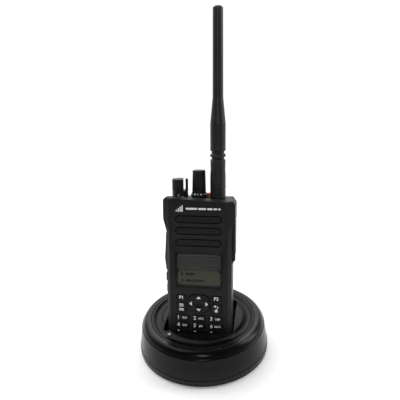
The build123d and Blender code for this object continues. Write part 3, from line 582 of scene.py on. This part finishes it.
def face_mark():
    """A plain signal-strength sign and a broken rule over the grille."""
    face = radio_box("front_housing")[0].y
    level = radio_box("speaker_grille")[1].z + MARK_OVER_GRILLE
    parts = []
    for index in range(SIGNAL_BARS):
        tall = 1.5 + index * 1.2
        shape = tile(rounded(1.0 * MM, tall * MM, 0.25 * MM))
        across = (SIGNAL_LEFT + index * SIGNAL_PITCH) * MM
        parts.append(moved(shape, across, (tall / 2 - 2.5) * MM))
    left = DASH_LEFT
    for length in DASHES:
        shape = tile(rounded(length * MM, 1.5 * MM, 0.6 * MM))
        parts.append(moved(shape, (left + length / 2) * MM, 0))
        left += length + DASH_GAP
    mesh = on_face(joined(parts), 0, face - PRINT_LIFT, level)
    add("face_mark", mesh, white_ink, "radio")


def skirt_marks():
    """Sixteen channel marks round the selector's skirt, every other one larger."""
    low, high = radio_box("channel_knob")
    centre = (low + high) / 2
    radius = (high.x - low.x) / 2
    marks = []
    for index in range(CHANNELS):
        size = 1.25 if index % 2 else 0.8
        mark = tile(rounded(size * 0.8 * MM, size * MM, 0.25 * MM))
        mark.transform(Matrix.Rotation(math.radians(90), 4, "X"))
        slope = Matrix.Rotation(math.radians(SKIRT_SLOPE), 4, "X")
        mark.transform(Matrix.Translation((0, -radius + SKIRT_INSET, SKIRT_LEVEL)) @ slope)
        mark.transform(Matrix.Rotation(2 * math.pi * index / CHANNELS, 4, "Z"))
        marks.append(mark)
    mesh = joined(marks)
    mesh.transform(Matrix.Translation(at(centre.x, centre.y, low.z)) @ RADIO.to_4x4())
    add("channel_marks", mesh, white_ink, "channel_control")


def knob_pointer():
    """White line on the volume knob's pointer lug."""
    low = radio_box("volume_knob")[0]
    centre_u = middle("volume_shaft").x
    mark = tile(rounded(0.5 * MM, 2.6 * MM, 0.2 * MM))
    mesh = on_face(mark, centre_u, low.y - PRINT_LIFT, low.z + POINTER_LEVEL)
    add("volume_pointer", mesh, white_ink, "volume_control")


def port_contacts():
    """Gold faces on the pads of the accessory port."""
    low, high = radio_box("accessory_connector")
    centre = (low + high) / 2
    pads = []
    for row in (-1, 1):
        for index in range(PADS_IN_ROW):
            along = (index - (PADS_IN_ROW - 1) / 2) * PAD_PITCH * MM
            pad = tile(rounded(2.2 * MM, 1.5 * MM, 0.3 * MM))
            pad.transform(Matrix.Rotation(math.radians(90), 4, "X"))
            pad.transform(Matrix.Rotation(math.radians(90), 4, "Z"))
            pad.transform(Matrix.Translation((0, row * PAD_ROW * MM, along)))
            pads.append(pad)
    mesh = joined(pads)
    place = Matrix.Translation(at(high.x + PRINT_LIFT, centre.y, centre.z))
    mesh.transform(place @ RADIO.to_4x4())
    add("port_contacts", mesh, gold, "radio")


# ---- Stage ------------------------------------------------------------------------------
FLOOR_R = 0.85
FLOOR_FADE_FROM = 0.22
FLOOR_GLOW = 0.2
FLOOR_THICK = 2 * MM
FLOOR_SIDES = 96
SKY_LOW = 0.9
SKY_HIGH = 0.06
SKY_FRONT = 0.2
SKY_BEHIND = 1.0
SKY_SEEN = 1.05
# Each light's place and target, its width and height in metres, and its power in watts.
LIGHTS = {
    "key_light": ((-0.45, 0.5, 1.15), (0, 0, 0.02), 2.1, 1.7, 27),
    "right_light": ((1.1, 0.3, 0.75), (0, 0, 0.08), 0.5, 0.9, 7),
    "front_light": ((0.12, -1.15, 0.9), (0, 0, 0.05), 0.3, 0.2, 2.6),
}


def floor():
    """A pale, faintly glowing sheet that fades into the white surroundings at its rim."""
    made, tree, shader = new_material("pale_floor", (0.88, 0.88, 0.88), 0.8, 0.1)
    tone = ramp(tree, noise(tree, 3, 2), (0.87, 0.87, 0.87), (0.89, 0.89, 0.89))
    tree.links.new(tone, shader.inputs["Base Color"])
    shader.inputs["Emission Color"].default_value = (1, 1, 1, 1)
    shader.inputs["Emission Strength"].default_value = FLOOR_GLOW
    coords = tree.nodes.new("ShaderNodeTexCoord")
    length = tree.nodes.new("ShaderNodeVectorMath")
    length.operation = "LENGTH"
    tree.links.new(coords.outputs["Object"], length.inputs[0])
    fade = tree.nodes.new("ShaderNodeMapRange")
    fade.inputs["From Min"].default_value = FLOOR_FADE_FROM
    fade.inputs["From Max"].default_value = FLOOR_R * 0.95
    fade.inputs["To Min"].default_value = 1.0
    fade.inputs["To Max"].default_value = 0.0
    tree.links.new(length.outputs["Value"], fade.inputs["Value"])
    tree.links.new(fade.outputs["Result"], shader.inputs["Alpha"])
    rim = [(FLOOR_R * math.cos(a), FLOOR_R * math.sin(a))
           for a in [2 * math.pi * i / FLOOR_SIDES for i in range(FLOOR_SIDES)]]
    mesh = tile(rim, FLOOR_THICK)
    mesh.transform(Matrix.Translation((0, 0, -FLOOR_THICK / 2)))
    ground = bpy.data.objects.new("studio_floor", mesh)
    bpy.context.scene.collection.objects.link(ground)
    dress(ground, made)


def area_light(name, place, target, width, height, power):
    """A soft rectangular light aimed at a point."""
    data = bpy.data.lights.new(name, "AREA")
    data.shape = "RECTANGLE"
    data.size = width
    data.size_y = height
    data.energy = power
    light = bpy.data.objects.new(name, data)
    light.location = place
    aim = Vector(target) - Vector(place)
    light.rotation_euler = aim.to_track_quat("-Z", "Y").to_euler()
    bpy.context.scene.collection.objects.link(light)


def sky():
    """White to the camera; what lights the object is bright low behind it and dim elsewhere."""
    world = bpy.data.worlds.new("studio")
    bpy.context.scene.world = world
    world.use_nodes = True
    tree = world.node_tree
    lit = tree.nodes["Background"]
    coords = tree.nodes.new("ShaderNodeTexCoord")
    split = tree.nodes.new("ShaderNodeSeparateXYZ")
    tree.links.new(coords.outputs["Generated"], split.inputs["Vector"])
    height = tree.nodes.new("ShaderNodeValToRGB")
    height.color_ramp.elements[0].position = 0.3
    height.color_ramp.elements[0].color = (SKY_LOW, SKY_LOW, SKY_LOW, 1)
    height.color_ramp.elements[1].position = 0.75
    height.color_ramp.elements[1].color = (SKY_HIGH, SKY_HIGH, SKY_HIGH, 1)
    tree.links.new(split.outputs["Z"], height.inputs["Fac"])
    tree.links.new(height.outputs["Color"], lit.inputs["Color"])
    depth = tree.nodes.new("ShaderNodeMapRange")
    depth.inputs["From Min"].default_value = -0.5
    depth.inputs["From Max"].default_value = 0.5
    depth.inputs["To Min"].default_value = SKY_FRONT
    depth.inputs["To Max"].default_value = SKY_BEHIND
    tree.links.new(split.outputs["Y"], depth.inputs["Value"])
    tree.links.new(depth.outputs["Result"], lit.inputs["Strength"])
    seen = tree.nodes.new("ShaderNodeBackground")
    seen.inputs["Color"].default_value = (1, 1, 1, 1)
    seen.inputs["Strength"].default_value = SKY_SEEN
    rays = tree.nodes.new("ShaderNodeLightPath")
    mix = tree.nodes.new("ShaderNodeMixShader")
    tree.links.new(rays.outputs["Is Camera Ray"], mix.inputs["Fac"])
    tree.links.new(lit.outputs["Background"], mix.inputs[1])
    tree.links.new(seen.outputs["Background"], mix.inputs[2])
    tree.links.new(mix.outputs["Shader"], tree.nodes["World Output"].inputs["Surface"])
    bpy.context.scene.view_settings.view_transform = "Standard"


def lights():
    """Key behind on the left, a weaker one on the right and a small one high in front."""
    for name, facts in LIGHTS.items():
        area_light(name, *facts)


CAMERA_AZIMUTH = 9.53
CAMERA_ELEVATION = 21.9
CAMERA_ROLL = -2.39
CAMERA_DISTANCE = 370 * MM
CAMERA_LENS = 43.67
AIM_RIGHT = 1.63 * MM
AIM_HEIGHT = 133.1 * MM


def camera():
    """The camera, a little right of the face and looking down on the charger."""
    azimuth = math.radians(CAMERA_AZIMUTH)
    elevation = math.radians(CAMERA_ELEVATION)
    roll = math.radians(CAMERA_ROLL)
    back = Vector((math.sin(azimuth) * math.cos(elevation),
                   -math.cos(azimuth) * math.cos(elevation), math.sin(elevation)))
    right = Vector((math.cos(azimuth), math.sin(azimuth), 0))
    up = back.cross(right)
    tilted_right = math.cos(roll) * right + math.sin(roll) * up
    tilted_up = math.cos(roll) * up - math.sin(roll) * right
    aim = right * AIM_RIGHT + Vector((0, 0, AIM_HEIGHT))
    data = bpy.data.cameras.new("camera")
    data.lens = CAMERA_LENS
    data.sensor_width = 36
    data.clip_start = 0.01
    view = bpy.data.objects.new("camera", data)
    turn = Matrix((tilted_right, tilted_up, back)).transposed().to_4x4()
    view.matrix_world = Matrix.Translation(aim + back * CAMERA_DISTANCE) @ turn
    bpy.context.scene.collection.objects.link(view)
    bpy.context.scene.camera = view


camera()
sky()
lights()
floor()
finish_nodes()
dial_legends()
side_legends()
nav_marks()
display_picture()
face_mark()
skirt_marks()
knob_pointer()
port_contacts()
